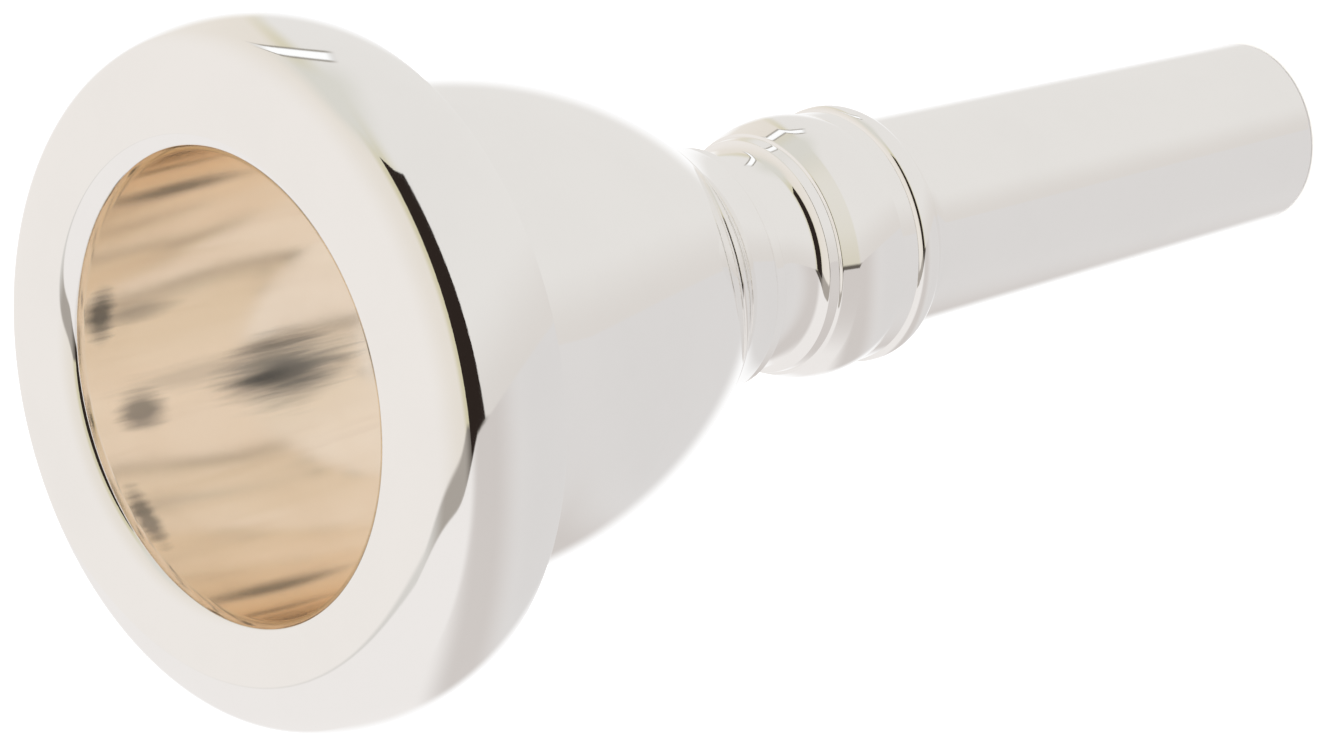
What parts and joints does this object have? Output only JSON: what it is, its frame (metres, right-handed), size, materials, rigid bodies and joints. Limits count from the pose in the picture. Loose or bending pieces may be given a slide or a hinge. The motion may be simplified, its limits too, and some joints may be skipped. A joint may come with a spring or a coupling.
{
  "type": "brass instrument mouthpiece",
  "caption": "Large silver-plated brass mouthpiece with a wide rounded rim, gold-lined bell-shaped cup, beaded neck and tapered shank, in three screwed modules.",
  "frame": {"origin": "centre of the shank's end face, which it stands on", "axes": "+Z along the bore's axis from the shank end to the rim; X and Y are free because the part is round"},
  "size_m": [0.0486, 0.0486, 0.0991],
  "materials": {
    "silver_plate": "mirror-polished silver plate",
    "gold_plate": "mirror-polished gold plate, slightly rosy",
    "brass": "machined, bare",
    "rubber": "matte black"
  },
  "bodies": {
    "shank": {"shank_core": "brass", "shank_silver_plating": "silver_plate"},
    "shank_ring": {"shank_o_ring": "rubber"},
    "cup": {"cup_core": "brass", "cup_silver_plating": "silver_plate", "cup_gold_plating": "gold_plate"},
    "rim_ring": {"rim_o_ring": "rubber"},
    "rim": {"rim_core": "brass", "rim_silver_plating": "silver_plate"}
  },
  "joints": [
    {"name": "cup_lift", "type": "slide", "parent": "shank", "child": "shank_ring", "axis": [0, 0, 1], "range_m": [0, 0.0091]},
    {"name": "cup_turn", "type": "hinge", "parent": "shank_ring", "child": "cup", "pos_m": [0, 0, 0.045], "axis": [0, 0, 1], "range_deg": [0, 3240]},
    {"name": "rim_lift", "type": "slide", "parent": "cup", "child": "rim_ring", "axis": [0, 0, 1], "range_m": [0, 0.0081]},
    {"name": "rim_turn", "type": "hinge", "parent": "rim_ring", "child": "rim", "pos_m": [0, 0, 0.09], "axis": [0, 0, 1], "range_deg": [0, 2880]}
  ],
  "couplings": [
    {"joint": "cup_lift", "follows": "cup_turn", "m_per_rad": 0.00015915},
    {"joint": "rim_lift", "follows": "rim_turn", "m_per_rad": 0.00015915}
  ]
}
